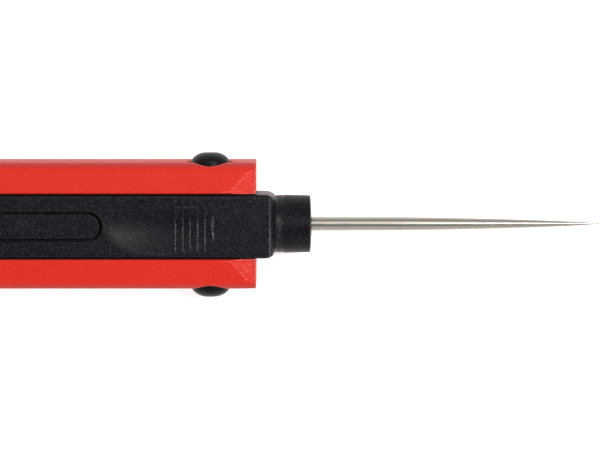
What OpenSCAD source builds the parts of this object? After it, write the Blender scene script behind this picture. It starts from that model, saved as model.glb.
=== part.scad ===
// Retractable scratch awl. A steel needle is clamped in a black slider that runs in a red channel
// housing. Two spring-loaded side buttons free the latch springs that lock the slider forward.
// +X runs along the needle to its tip, +Z is up through the thumb face, and z = 0 is the flat back.
// Lengths along X are counted from the mouth, the front end of the housing.

/* [Housing] */
// Length of the closed tool from the mouth to the end of the tail cap
housing_len = 112; // [111:0.5:125]
// Width across the two rails
housing_w = 18.6; // [18.4:0.1:20]
// Thickness at the edges of the thumb slot
housing_t = 11.2; // [11.2:0.1:12]
// Width of the thumb slot and of the channel below it
slot_w = 9.6; // [9.5:0.05:9.8]
// Thickness of the channel floor
floor_t = 1.1; // [0.9:0.05:1.15]
// Radius of the long edges beside the thumb face
face_edge_r = 1.5; // [1:0.1:1.8]
// Radius of the long edges beside the flat back
back_edge_r = 1; // [0.6:0.1:1]
// Fall of each rail's face from the slot to its outer edge
rail_fall = 0.5; // [0.2:0.1:0.8]
// Length of the sloping facet at the front end of each rail
hip_len = 4; // [2:0.5:6]

/* [Tail cap] */
// Length of the tail cap behind the shells
tail_len = 8; // [7.5:0.5:10]
// Radius of the tail cap's corners in plan
tail_corner_r = 5.5; // [3:0.5:8]
// Diameter of the hanging hole
hang_d = 4.4; // [3:0.1:4.8]
// Distance from the hanging hole's centre to the end
hang_inset = 4.2; // [3.8:0.1:5]

/* [Slider] */
// Travel from locked out to fully drawn in
slide_travel = 52; // [51.2:0.1:52]
// Length of the slider from its nose to its rear end
slider_len = 51; // [49:0.5:51]
// Reach of the slider's nose out of the mouth
nose_reach = 4.1; // [3.5:0.1:4.5]
// Gap between the slider and each channel wall
side_gap = 0.1; // [0.08:0.01:0.15]
// Gap between the slider and the channel floor
floor_gap = 0.2; // [0.15:0.05:0.3]
// Depth of the thumb face below the rails' slot edges
face_gap = 0.1; // [0:0.05:0.3]

/* [Thumb dish] */
// Centre of the thumb dish behind the mouth
dish_back = 14; // [13:0.5:15]
// Length of the thumb dish
dish_len = 15.7; // [13:0.1:16]
// Width of the thumb dish
dish_w = 8; // [6:0.1:8.6]
// Depth of the thumb dish
dish_depth = 0.9; // [0.5:0.1:1.2]
// Number of grip ribs in the dish
rib_count = 6; // [3:1:7]
// Distance between grip ribs
rib_pitch = 1.08; // [0.9:0.01:1.3]
// Width of a grip rib
rib_w = 0.42; // [0.3:0.01:0.6]
// Height of a grip rib
rib_h = 0.28; // [0.1:0.01:0.4]
// Distance of the front rib behind the mouth
front_rib_back = 6.5; // [6.3:0.1:8]

/* [Marker plate] */
// Distance of the plate pocket's front end behind the mouth
marker_back = 22.5; // [22.4:0.1:23]
// Length of the plate pocket
marker_len = 21.7; // [18:0.1:22]
// Width of the plate pocket
marker_w = 4.3; // [3.5:0.1:5]
// Width of the groove round the plate
marker_gap = 0.35; // [0.1:0.05:0.5]

/* [Collar and needle] */
// Diameter of the collar at the slider's nose
collar_d = 8.6; // [8:0.1:8.6]
// Length of the collar
collar_len = 4.1; // [3.6:0.1:5]
// Diameter of the needle's wire
needle_d = 2; // [1.6:0.1:2.2]
// Length of needle in front of the collar
needle_out = 42.6; // [40:0.1:42.6]
// Length of that which is not tapered
needle_straight = 12; // [8:0.5:16]

/* [Buttons] */
// Distance of the buttons behind the mouth
button_back = 6.7; // [6.6:0.05:7]
// Height of the buttons' middle above the back
button_z = 6.8; // [6.7:0.05:6.85]
// Diameter of a button's head
button_d = 6; // [5.6:0.1:6]
// Rise of a button's head above the rail
button_rise = 1.4; // [1:0.05:1.5]
// Travel of a button
button_travel = 0.8; // [0.7:0.05:0.8]

/* [Screws] */
// Diameter of the screws' shanks
screw_d = 1.96; // [1.8:0.02:1.96]
// Diameter of the screws' heads
screw_head_d = 3; // [2.8:0.1:3]
// Distance of the rail screws from the centre line
screw_y = 7.1; // [7:0.05:7.2]

/* [Hidden] */
$fn = 64;

RED = [0.83, 0.10, 0.07];
BLACK = [0.07, 0.07, 0.08];
STEEL = [0.72, 0.70, 0.66];
DARK_STEEL = [0.25, 0.25, 0.27];

// Where things are along X, from the mouth
tip_reach = nose_reach + collar_len + needle_out;
mouth_x = (housing_len - tip_reach) / 2;
shell_rear = -(housing_len - tail_len);
slider_rear = nose_reach - slider_len;
stop_gap = 0.2;
channel_rear = slider_rear - slide_travel - stop_gap;
button_x = -button_back;
collar_front = nose_reach + collar_len;

// Where things are across and up
axis_z = housing_t / 2;
slider_half = slot_w / 2 - side_gap;
slider_floor = floor_t + floor_gap;
face_z = housing_t - face_gap;
over = 1;

// The guide grooves in the channel walls, and the slider's tongues in them
groove_half = slot_w / 2 + 0.85;
groove_floor = axis_z - 1.1;
groove_ceiling = button_z + 1.2;
groove_front = -14;
tongue_half = groove_half - 0.15;
tongue_play = 0.1;
tongue_end_gap = 0.2;

// A button's bore, measured outwards from the centre plane
bore_play = 0.1;
wall_out = housing_w / 2;
pocket_out = wall_out - 1.4;
pocket_in = pocket_out - 2;
pocket_d = 6.9;
flange_d = 6.7;
flange_t = 0.5;
stem_d = 3;
stem_end = pocket_in - 0.2;

// The latch spring's strip
strip_t = 0.2;
strip_w = 2.2;
strip_floor = axis_z + 0.05;
strip_out = slider_half - 0.2;
tooth_out = stem_end - 0.1;
tooth_len = 2;
strip_pocket_in = 2.9;
strip_pocket_front = -4.2;
strip_pocket_rear = groove_front;
strip_front = -4.6;
strip_rear = -18;
hook_in = 3.2;

// The return spring round a button's stem
coil_r = 2.4;
coil_wire = 0.22;
coil_turns = 2;

// The needle's embedded end and the spigot that the collar clamps
needle_bore = needle_d + 0.04;
needle_heel_x = -24;
needle_heel_drop = 3;
spigot_r = 3;
spigot_front = collar_front - 1;
boss_r = 4.26;

// Screw places
rail_screw_x = [-18, -56, -94];
slider_screw_x = [-29, -41];
tail_screw_x = shell_rear + 1.7;
tongue_floor = 2.5;
tongue_ceiling = 8.6;
screw_head_h = 0.85;
head_sink = 0.08;
screw_play = 0.02;

// The marker plate's pegs
marker_floor = face_z - 0.7;
peg_d = 1.2;
peg_inset = 4;

// Moves a part from the mouth's frame to the tool's own frame, whose origin is under its middle.
module placed() {
    translate([mouth_x, 0, 0]) children();
}

// A YZ outline, drawn in XY, extruded along X.
module along_x(from, to) {
    translate([from, 0, 0]) rotate([90, 0, 90]) linear_extrude(to - from) children();
}

// A body of revolution drawn about Z and turned to point out of one side, +1 for +Y and -1 for -Y.
module out_of_side(side) {
    translate([button_x, 0, button_z]) rotate([-90 * side, 0, 0]) children();
}

// A slot with full-radius ends, from the front end at x = front, back by len.
module stadium(front, len, w) {
    translate([front - len + w / 2, -w / 2]) square([len - w, w]);
    for (x = [front - w / 2, front - len + w / 2]) translate([x, 0]) circle(d = w);
}

// Outline of the housing across its length.
module housing_outline() {
    edge_z = housing_t - rail_fall;
    half = housing_w / 2;
    face_y = half - face_edge_r;
    back_y = half - back_edge_r;
    polygon([[-back_y, 0], [back_y, 0], [half, back_edge_r], [half, edge_z - face_edge_r],
        [face_y, edge_z], [slot_w / 2, housing_t], [-slot_w / 2, housing_t],
        [-face_y, edge_z], [-half, edge_z - face_edge_r], [-half, back_edge_r]]);
    for (side = [-1, 1]) {
        translate([side * back_y, back_edge_r]) circle(back_edge_r);
        translate([side * face_y, edge_z - face_edge_r]) circle(face_edge_r);
    }
}

// What the shells lose at the front, so that each rail ends in a sloping facet.
module hip_cut() {
    face_y = housing_w / 2 - face_edge_r;
    slope = rail_fall / (face_y - slot_w / 2);
    hip_fall = slope * (housing_w - slot_w) / 2;
    translate([-hip_len, -housing_w, housing_t]) rotate([0, atan2(hip_fall, hip_len), 0])
        cube([4 * hip_len, 2 * housing_w, 2 * housing_t]);
}

// The channel and its side grooves.
module channel_cut() {
    translate([channel_rear, -slot_w / 2, floor_t])
        cube([over - channel_rear, slot_w, housing_t]);
    translate([channel_rear, -groove_half, groove_floor])
        cube([groove_front - channel_rear, 2 * groove_half, groove_ceiling - groove_floor]);
}

// The rear pocket that takes the tail cap's tongue.
module tongue_cut() {
    translate([shell_rear - over, -slot_w / 2, tongue_floor])
        cube([channel_rear - shell_rear + 2 * over, slot_w, tongue_ceiling - tongue_floor]);
}

// One side's stepped bore: stem hole, spring pocket and head hole.
module button_bore(side) {
    out_of_side(side) {
        translate([0, 0, slot_w / 2 - over])
            cylinder(h = pocket_in - slot_w / 2 + 1.5 * over, d = stem_d + 2 * bore_play);
        translate([0, 0, pocket_in]) cylinder(h = pocket_out - pocket_in, d = pocket_d);
        translate([0, 0, pocket_out - over / 2])
            cylinder(h = wall_out - pocket_out + 2 * over, d = button_d + 2 * bore_play);
    }
}

// Clearance for one countersunk screw that enters at z = bottom and is held above z = grip.
module screw_cut(bottom, grip, top) {
    translate([0, 0, bottom - over])
        cylinder(h = over, d = screw_head_d + 0.2);
    translate([0, 0, bottom])
        cylinder(h = screw_head_h, d1 = screw_head_d + 0.2, d2 = screw_d + 0.2);
    translate([0, 0, bottom + screw_head_h / 2])
        cylinder(h = grip - bottom - screw_head_h / 2, d = screw_d + 0.2);
    translate([0, 0, grip - over / 2])
        cylinder(h = top - grip + over / 2, d = screw_d + 2 * screw_play);
}

// One countersunk screw with a cross recess, from z = bottom up to z = top.
module screw(bottom, top) {
    head_z = bottom + head_sink;
    difference() {
        union() {
            translate([0, 0, head_z])
                cylinder(h = screw_head_h, d1 = screw_head_d, d2 = screw_d);
            translate([0, 0, head_z + screw_head_h / 2])
                cylinder(h = top - head_z - screw_head_h / 2 - screw_d / 2, d = screw_d);
            translate([0, 0, top - screw_d / 2])
                cylinder(h = screw_d / 2 - 0.2, d1 = screw_d, d2 = screw_d / 2);
        }
        for (turn = [0, 90]) rotate(turn)
            translate([-0.85, -0.22, head_z - over]) cube([1.7, 0.44, over + 0.6]);
    }
}

module at_rail_screws() {
    for (x = rail_screw_x, side = [-1, 1]) translate([x, side * screw_y, 0]) children();
}

module housing_back() {
    color(RED) placed() difference() {
        along_x(shell_rear, 0) intersection() {
            housing_outline();
            translate([-housing_w, 0]) square([2 * housing_w, axis_z]);
        }
        channel_cut();
        tongue_cut();
        for (side = [-1, 1]) button_bore(side);
        at_rail_screws() screw_cut(0, axis_z, axis_z + over);
        translate([tail_screw_x, 0, 0]) screw_cut(0, tongue_floor, tongue_floor + over);
    }
}

module housing_front() {
    color(RED) placed() difference() {
        along_x(shell_rear, 0) intersection() {
            housing_outline();
            translate([-housing_w, axis_z]) square([2 * housing_w, housing_t]);
        }
        hip_cut();
        channel_cut();
        tongue_cut();
        for (side = [-1, 1]) button_bore(side);
        at_rail_screws() screw_cut(0, axis_z - over, 9.2);
        translate([tail_screw_x, 0, 0]) screw_cut(0, tongue_ceiling - over, 10.2);
    }
}

module tail_cap() {
    hole_x = hang_inset - housing_len;
    plan_y = housing_w / 2 - tail_corner_r;
    rim = 0.4;
    color(BLACK) placed() difference() {
        union() {
            intersection() {
                along_x(-housing_len, shell_rear) housing_outline();
                translate([0, 0, -over]) linear_extrude(housing_t + 2 * over) {
                    translate([-housing_len, -plan_y])
                        square([tail_len, 2 * plan_y]);
                    translate([tail_corner_r - housing_len, -housing_w / 2])
                        square([tail_len - tail_corner_r, housing_w]);
                    for (side = [-1, 1])
                        translate([tail_corner_r - housing_len, side * plan_y])
                            circle(tail_corner_r);
                }
            }
            translate([shell_rear - over, -slot_w / 2 + 0.1, tongue_floor + 0.05])
                cube([channel_rear - shell_rear + over - 0.1, slot_w - 0.2,
                    tongue_ceiling - tongue_floor - 0.1]);
        }
        translate([hole_x, 0, -over]) cylinder(h = housing_t + 2 * over, d = hang_d);
        translate([hole_x, 0, -over])
            cylinder(h = over + rim, d1 = hang_d + 2 * (rim + over), d2 = hang_d);
        translate([hole_x, 0, housing_t - rim])
            cylinder(h = over + rim, d1 = hang_d, d2 = hang_d + 2 * (rim + over));
        translate([tail_screw_x, 0, 0]) cylinder(h = housing_t - 1, d = screw_d + 0.2);
    }
}

module housing_screws() {
    color(DARK_STEEL) placed() at_rail_screws() screw(0, 9);
}

module tail_screw() {
    color(DARK_STEEL) placed() translate([tail_screw_x, 0, 0]) screw(0, 10);
}

// The slider's outside, both halves together, without its tongues, boss and spigot.
module slider_block() {
    face_r = 0.4;
    keel_r = 1.7;
    toe = 0.8;
    slope_len = 2;
    slope_fall = 2.4;
    shoulder_len = 2.8;
    shoulder_in = 0.35;
    intersection() {
        along_x(slider_rear, nose_reach) {
            translate([-slider_half + keel_r, slider_floor])
                square([2 * (slider_half - keel_r), axis_z - slider_floor]);
            translate([-slider_half, slider_floor + keel_r])
                square([2 * slider_half, face_z - face_r - slider_floor - keel_r]);
            translate([-slider_half + face_r, axis_z])
                square([2 * (slider_half - face_r), face_z - axis_z]);
            for (side = [-1, 1]) {
                translate([side * (slider_half - keel_r), slider_floor + keel_r])
                    circle(keel_r);
                translate([side * (slider_half - face_r), face_z - face_r])
                    circle(face_r);
            }
        }
        // Plan, with shoulders that draw in towards the collar
        linear_extrude(housing_t)
            polygon([[slider_rear, -slider_half], [nose_reach - shoulder_len, -slider_half],
                [nose_reach - shoulder_len / 3, shoulder_in / 3 - slider_half],
                [nose_reach, shoulder_in - slider_half], [nose_reach, slider_half - shoulder_in],
                [nose_reach - shoulder_len / 3, slider_half - shoulder_in / 3],
                [nose_reach - shoulder_len, slider_half], [slider_rear, slider_half]]);
        // Side view, with the slope from the thumb face down to the collar
        translate([0, housing_w / 2, 0]) rotate([90, 0, 0]) linear_extrude(housing_w)
            polygon([[slider_rear, 0], [nose_reach - toe, 0], [nose_reach, 2 * toe],
                [nose_reach, face_z - slope_fall], [nose_reach - slope_len, face_z],
                [slider_rear, face_z]]);
    }
}

// Spindle whose cut into the thumb face leaves an oval dish. raised lifts it off the dish's floor.
module dish_spindle(raised) {
    sum = (dish_w / 2) * (dish_w / 2) / dish_depth;
    belly = (sum + dish_depth) / 2;
    lift = (sum - dish_depth) / 2;
    half = dish_len / 2;
    profile_r = (half * half + dish_depth * dish_depth) / (2 * dish_depth);
    translate([-dish_back, 0, face_z + lift]) rotate([0, 90, 0]) rotate_extrude()
        intersection() {
            translate([belly - profile_r - raised, 0]) circle(profile_r, $fn = 180);
            translate([0, -2 * half]) square([2 * belly, 4 * half]);
        }
}

module grip_ribs() {
    for (i = [0:rib_count - 1])
        translate([-front_rib_back - i * rib_pitch - rib_w / 2, -slot_w, face_z - 2 * dish_depth])
            cube([rib_w, 2 * slot_w, 4 * dish_depth]);
}

// Both halves' hollows for the needle and the latch springs.
module slider_hollows() {
    translate([needle_heel_x, 0, axis_z]) {
        rotate([0, 90, 0])
            cylinder(h = spigot_front - needle_heel_x + over, d = needle_bore);
        translate([0, 0, -needle_heel_drop - 0.1])
            cylinder(h = needle_heel_drop + 0.1, d = needle_bore);
        sphere(d = needle_bore);
    }
    for (side = [0, 1]) mirror([0, side, 0]) {
        translate([strip_pocket_rear, strip_pocket_in, axis_z])
            cube([strip_pocket_front - strip_pocket_rear, slider_half, strip_w + 0.3]);
        translate([strip_rear - 0.1, strip_out - strip_t - 0.05, axis_z])
            cube([strip_pocket_rear - strip_rear + over, strip_t + 0.1, strip_w + 0.1]);
        translate([strip_rear - 0.1, hook_in - 0.1, axis_z])
            cube([strip_t + 0.2, strip_out - hook_in + 0.1, strip_w + 0.1]);
    }
}

// The solid that both halves are cut from: block, tongues, round boss and front spigot.
module slider_whole() {
    slider_block();
    translate([nose_reach - 2 * over, 0, axis_z]) rotate([0, 90, 0])
        cylinder(h = 2 * over, r = boss_r);
    translate([slider_rear + 0.4, -tongue_half, groove_floor + tongue_play])
        cube([groove_front - tongue_end_gap - slider_rear - 0.4, 2 * tongue_half,
            groove_ceiling - groove_floor - 2 * tongue_play]);
    translate([nose_reach - over, 0, axis_z]) rotate([0, 90, 0])
        cylinder(h = spigot_front - nose_reach + over, r = spigot_r);
}

module half_space(top) {
    translate([slider_rear - over, -housing_w, top ? axis_z : axis_z - 2 * housing_t])
        cube([2 * slider_len, 2 * housing_w, 2 * housing_t]);
}

module slider_top() {
    color(BLACK) placed() difference() {
        intersection() {
            slider_whole();
            half_space(true);
        }
        slider_hollows();
        dish_spindle(rib_h);
        difference() {
            dish_spindle(0);
            grip_ribs();
        }
        translate([0, 0, marker_floor]) linear_extrude(over)
            stadium(-marker_back, marker_len, marker_w);
        for (x = [peg_inset, marker_len - peg_inset])
            translate([-marker_back - x, 0, marker_floor - 1.3])
                cylinder(h = 1.3 + over / 2, d = peg_d + 0.03);
        for (x = slider_screw_x)
            translate([x, 0, 0]) screw_cut(slider_floor, axis_z - over, 9.2);
    }
}

module slider_base() {
    color(BLACK) placed() difference() {
        intersection() {
            slider_whole();
            half_space(false);
        }
        slider_hollows();
        for (x = slider_screw_x)
            translate([x, 0, 0]) screw_cut(slider_floor, axis_z, axis_z + over);
    }
}

module slider_screws() {
    color(DARK_STEEL) placed() for (x = slider_screw_x)
        translate([x, 0, 0]) screw(slider_floor, 9);
}

module marker_plate() {
    color(BLACK) placed() {
        translate([0, 0, marker_floor]) linear_extrude(face_z - marker_floor - 0.05)
            stadium(-marker_back - marker_gap, marker_len - 2 * marker_gap,
                marker_w - 2 * marker_gap);
        for (x = [peg_inset, marker_len - peg_inset])
            translate([-marker_back - x, 0, marker_floor - 1.2])
                cylinder(h = 1.4, d = peg_d);
    }
}

module collar() {
    root_r = collar_d / 2;
    tip_r = root_r - 0.05;
    edge = 0.3;
    dome = 0.15;
    arc = [for (t = [0:15:90])
        [tip_r - edge + edge * cos(t), collar_front - dome - edge + edge * sin(t)]];
    color(BLACK) placed() translate([0, 0, axis_z]) rotate([0, 90, 0]) rotate_extrude()
        polygon(concat([[spigot_r + 0.03, nose_reach + 0.02], [root_r, nose_reach + 0.02]], arc,
            [[needle_bore / 2 + 0.3, collar_front], [needle_bore / 2, collar_front - 0.1],
            [needle_bore / 2, spigot_front + 0.05],
            [spigot_r + 0.03, spigot_front + 0.05]]));
}

// Radius of the needle at a distance u in front of the collar: straight, then ever steeper.
function needle_r(u) =
    let (share = max(0, u - needle_straight) / (needle_out - needle_straight))
    needle_d / 2 * pow(max(0, 1 - pow(share, 1.35)), 0.62);

module needle() {
    tip_r = 0.12;
    steps = 24;
    taper = [for (i = [0:steps])
        let (u = needle_straight + (needle_out - needle_straight) * (1 - pow(1 - i / steps, 1.6)))
        [max(needle_r(u), i == steps ? 0 : tip_r), collar_front + u]];
    color(STEEL) placed() translate([0, 0, axis_z]) {
        rotate([0, 90, 0]) rotate_extrude()
            polygon(concat([[0, needle_heel_x], [needle_d / 2, needle_heel_x]], taper));
        translate([needle_heel_x, 0, 0]) sphere(d = needle_d);
        translate([needle_heel_x, 0, -needle_heel_drop])
            cylinder(h = needle_heel_drop, d = needle_d);
    }
}

// A bent strip: hooked rear end, straight arm, and a tooth with a square rear face.
module latch_spring(side) {
    tooth_rear = button_x - tooth_len / 2;
    tooth_front = button_x + tooth_len / 2;
    strip_in = strip_out - strip_t;
    tooth_in = tooth_out - 1.3 * strip_t;
    color(STEEL) placed() translate([0, 0, strip_floor]) mirror([0, side < 0 ? 1 : 0, 0])
        linear_extrude(strip_w)
            polygon([[strip_rear, hook_in], [strip_rear, strip_out], [tooth_rear, strip_out],
                [tooth_rear, tooth_out], [button_x, tooth_out], [tooth_front, strip_out],
                [strip_front, strip_out], [strip_front, strip_in], [tooth_front - 0.1, strip_in],
                [button_x - 0.1, tooth_in], [tooth_rear + strip_t, tooth_in],
                [tooth_rear + strip_t, strip_in], [strip_rear + strip_t, strip_in],
                [strip_rear + strip_t, hook_in]]);
}

module button(side) {
    head_r = button_d / 2;
    crown_r = 0.8;
    crown = [for (t = [0:15:90])
        [crown_r + (head_r - crown_r) * cos(t), wall_out + button_rise * sin(t)]];
    flange_out = pocket_out;
    flange_in = flange_out - flange_t;
    color(BLACK) placed() out_of_side(side) rotate_extrude()
        polygon(concat([[0, stem_end], [stem_d / 2, stem_end], [stem_d / 2, flange_in],
            [flange_d / 2, flange_in], [flange_d / 2, flange_out - 0.02],
            [head_r, flange_out - 0.02]], crown, [[0, wall_out + button_rise]]));
}

// A round wire swept along a helix, from one end of the spring pocket to the button's flange.
module button_spring(side) {
    sides = 8;
    steps = 48;
    low = pocket_in + 0.02 + coil_wire / 2;
    high = pocket_out - flange_t - 0.02 - coil_wire / 2;
    points = [for (i = [0:steps], k = [0:sides - 1])
        let (turn = 360 * coil_turns * i / steps, a = 360 * k / sides,
            r = coil_r + coil_wire / 2 * cos(a),
            rise = low + (high - low) * i / steps + coil_wire / 2 * sin(a))
        [r * cos(turn), r * sin(turn), rise]];
    walls = [for (i = [0:steps - 1], k = [0:sides - 1])
        let (a = i * sides + k, b = i * sides + (k + 1) % sides)
        [a, a + sides, b + sides, b]];
    ends = [[for (k = [0:sides - 1]) k],
        [for (k = [sides - 1:-1:0]) steps * sides + k]];
    color(STEEL) placed() out_of_side(side) polyhedron(points, concat(walls, ends));
}

housing_front();
housing_back();
tail_cap();
housing_screws();
tail_screw();
slider_top();
slider_base();
slider_screws();
marker_plate();
collar();
needle();
latch_spring(1);  // left_latch_spring
latch_spring(-1);  // right_latch_spring
button(1);  // left_button
button(-1);  // right_button
button_spring(1);  // left_button_spring
button_spring(-1);  // right_button_spring
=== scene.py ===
"""The retractable scratch awl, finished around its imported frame.

The awl lies on its flat back with the thumb face up and the needle pointing along +X. Sizes are
in metres. Stations along X are counted from the mouth, the front end of the red shells.
"""

from math import atan2, cos, degrees, pi, radians, sin, sqrt

import bmesh
import bpy
from mathutils import Matrix, Vector


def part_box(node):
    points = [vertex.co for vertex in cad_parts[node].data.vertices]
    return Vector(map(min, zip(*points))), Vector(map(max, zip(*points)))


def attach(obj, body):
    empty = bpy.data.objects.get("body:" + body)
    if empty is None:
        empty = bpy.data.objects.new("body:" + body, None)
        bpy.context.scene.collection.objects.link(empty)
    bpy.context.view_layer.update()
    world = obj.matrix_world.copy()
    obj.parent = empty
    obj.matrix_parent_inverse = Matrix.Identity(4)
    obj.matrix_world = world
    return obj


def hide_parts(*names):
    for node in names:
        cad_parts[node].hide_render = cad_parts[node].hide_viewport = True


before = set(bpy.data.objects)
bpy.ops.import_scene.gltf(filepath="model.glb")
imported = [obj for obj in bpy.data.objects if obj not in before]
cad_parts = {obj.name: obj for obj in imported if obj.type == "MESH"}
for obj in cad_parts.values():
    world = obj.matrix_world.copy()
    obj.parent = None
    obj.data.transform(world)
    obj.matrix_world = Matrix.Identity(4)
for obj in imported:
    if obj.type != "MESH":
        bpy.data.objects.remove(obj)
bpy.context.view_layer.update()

MM = 0.001

# ---------------------------------------------------------------- sizes taken from the frame

shell_low, shell_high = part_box("housing_front")
cap_low, cap_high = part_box("tail_cap")
slider_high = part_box("slider_top")[1]
keel_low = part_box("slider_base")[0]
marker_low, marker_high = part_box("marker_plate")
collar_low, collar_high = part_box("collar")
needle_low, needle_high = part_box("needle")
button_low, button_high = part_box("left_button")

MOUTH = shell_high.x
SHELL_REAR = shell_low.x
HALF_WIDTH = shell_high.y
TOP = shell_high.z
SPLIT = shell_low.z
AXIS = (collar_low.z + collar_high.z) / 2
BUTTON_X = (button_low.x + button_high.x) / 2
BUTTON_Z = (button_low.z + button_high.z) / 2
BUTTON_TOP = button_high.y
THUMB_FACE = slider_high.z
NOSE = collar_low.x - 0.02 * MM
SLIDER_REAR = keel_low.x

# ---------------------------------------------------------------- sizes of the details

OVER = 1 * MM            # how far a cutter reaches past what it cuts
TOUCH = 0.01 * MM        # two places closer than this are taken as one
SHARP = 28               # edges that turn by fewer degrees than this are not rounded

SLOT_HALF = 4.8 * MM
CHANNEL_FLOOR = 1.1 * MM
SLIDE_TRAVEL = 52 * MM
CHANNEL_REAR = SLIDER_REAR - SLIDE_TRAVEL - 0.2 * MM
GROOVE_HALF = 5.65 * MM
GROOVE_FLOOR = AXIS - 1.1 * MM
GROOVE_CEILING = BUTTON_Z + 1.2 * MM
GROOVE_FRONT = MOUTH - 14 * MM
RAIL_SLOPE = 0.167
SLOT_EDGE_R = 0.32 * MM
FACE_EDGE_R = 1.8 * MM
BACK_EDGE_R = 1.0 * MM
HIP_SLOPE = 0.19
HIP_LENGTH = 4.0 * MM
TONGUE_FLOOR = 2.5 * MM
TONGUE_CEILING = 8.6 * MM

BUTTON_HEAD_R = 3.0 * MM
BUTTON_BORE_R = 3.1 * MM
BORE_MOUTH_R = BUTTON_BORE_R + 0.3 * MM
BORE_MOUTH = (HALF_WIDTH - 1.0 * MM, HALF_WIDTH - 0.6 * MM)
BUTTON_POCKET_R = 3.45 * MM
BUTTON_STEM_HOLE_R = 1.6 * MM
BUTTON_POCKET = (5.9 * MM, 7.9 * MM)

RAIL_SCREWS = [MOUTH - along * MM for along in (18, 56, 94)]
SCREW_Y = 7.1 * MM
TAIL_SCREW_X = SHELL_REAR + 1.7 * MM
SCREW_HEAD_R = 1.6 * MM
SCREW_SHANK_R = 1.08 * MM
SCREW_SINK = 0.85 * MM

SLIDER_HALF = 4.7 * MM
TONGUE_ALONG = (SLIDER_REAR + 0.4 * MM, MOUTH - 14.2 * MM)
TONGUE_OUT = (SLIDER_HALF - 0.5 * MM, slider_high.y)
TONGUE_GAP = 0.1 * MM
LATCH_POCKET_ALONG = (MOUTH - 14 * MM, MOUTH - 4.2 * MM)
LATCH_POCKET_OUT = (2.9 * MM, 6 * MM)
LATCH_POCKET_UP = (SPLIT - OVER, AXIS + 2.5 * MM)
FACE_CORNER_R = 0.55 * MM
KEEL_CORNER_R = 1.7 * MM
FACE_FRONT = MOUTH + 2.14 * MM
BOSS_R = 4.26 * MM
SLIDER_SCREWS = [MOUTH - 29 * MM, MOUTH - 41 * MM]

DISH_X = MOUTH - 14 * MM
DISH_HALF_LENGTH = 7.85 * MM
DISH_HALF_WIDTH = 4.0 * MM
DISH_DEPTH = 0.9 * MM
DISH_SOFTNESS = 0.24 * MM
DISH_REAR = DISH_X - DISH_HALF_LENGTH - 0.3 * MM
DISH_FRONT = DISH_X + DISH_HALF_LENGTH + 0.4 * MM
RIB_COUNT = 6
RIB_FRONT = MOUTH - 6.33 * MM
RIB_PITCH = 1.08 * MM
RIB_HALF_WIDTH = 0.24 * MM
RIB_HEIGHT = 0.28 * MM
RIB_LEAN = 0.17
RIB_BOW = 0.06           # how far the front rib bows, per square millimetre of y

MARKER_GAP = 0.45 * MM
MARKER_THICKNESS = 0.7 * MM
MARKER_GROOVE_DEPTH = 1.3 * MM

NEEDLE_R = 1.0 * MM

HANG_HOLE_X = cap_low.x + 4.2 * MM
HANG_HOLE_R = 2.2 * MM
CAP_CORNER_R = 5.5 * MM


# ---------------------------------------------------------------- finishes

class Wire:
    """An output socket of a node tree. Arithmetic on it adds Math nodes."""

    def __init__(self, wiring, socket):
        self.wiring = wiring
        self.socket = socket

    def __add__(self, other):
        return self.wiring.math("ADD", self, other)

    def __sub__(self, other):
        return self.wiring.math("SUBTRACT", self, other)

    def __rsub__(self, other):
        return self.wiring.math("SUBTRACT", other, self)

    def __mul__(self, other):
        return self.wiring.math("MULTIPLY", self, other)

    def __abs__(self):
        return self.wiring.math("ABSOLUTE", self)

    __radd__ = __add__
    __rmul__ = __mul__

    def clamped(self):
        """Kept between 0 and 1."""
        return self.wiring.node("ShaderNodeMath", {"operation": "ADD", "use_clamp": True},
                                {0: self, 1: 0.0})

    def between(self, low, high):
        """0 below low, 1 above high, and smooth in between, or the other way round where low is
        the greater of the two."""
        return self.wiring.node("ShaderNodeMapRange", {"interpolation_type": "SMOOTHSTEP"},
                                {"Value": self, "From Min": low, "From Max": high})

    def near(self, place, full, none):
        """1 where it is closer than full to a place, falling to 0 at none from it."""
        return 1 - abs(self - place).between(full, none)


class Wiring:
    """A node tree that is wired up by expressions."""

    def __init__(self, tree):
        self.tree = tree
        self.tree.nodes.clear()

    def plug(self, node, sockets):
        """Sets or links input sockets of a node."""
        for name, value in sockets.items():
            if isinstance(value, Wire):
                self.tree.links.new(value.socket, node.inputs[name])
            else:
                node.inputs[name].default_value = value

    def node(self, kind, settings=None, sockets=None, out=0):
        """Any node: its settings are set first, then its sockets' values or links."""
        made = self.tree.nodes.new(kind)
        for name, value in (settings or {}).items():
            setattr(made, name, value)
        self.plug(made, sockets or {})
        return Wire(self, made.outputs[out])

    def math(self, operation, *values):
        return self.node("ShaderNodeMath", {"operation": operation}, dict(enumerate(values)))

    def blend(self, amount, first, second):
        """A colour between two colours or colour wires."""
        four = [value if isinstance(value, Wire) else (*value, 1.0) for value in (first, second)]
        return self.node("ShaderNodeMix", {"data_type": "RGBA"},
                         {0: amount, 6: four[0], 7: four[1]}, out=2)


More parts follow.
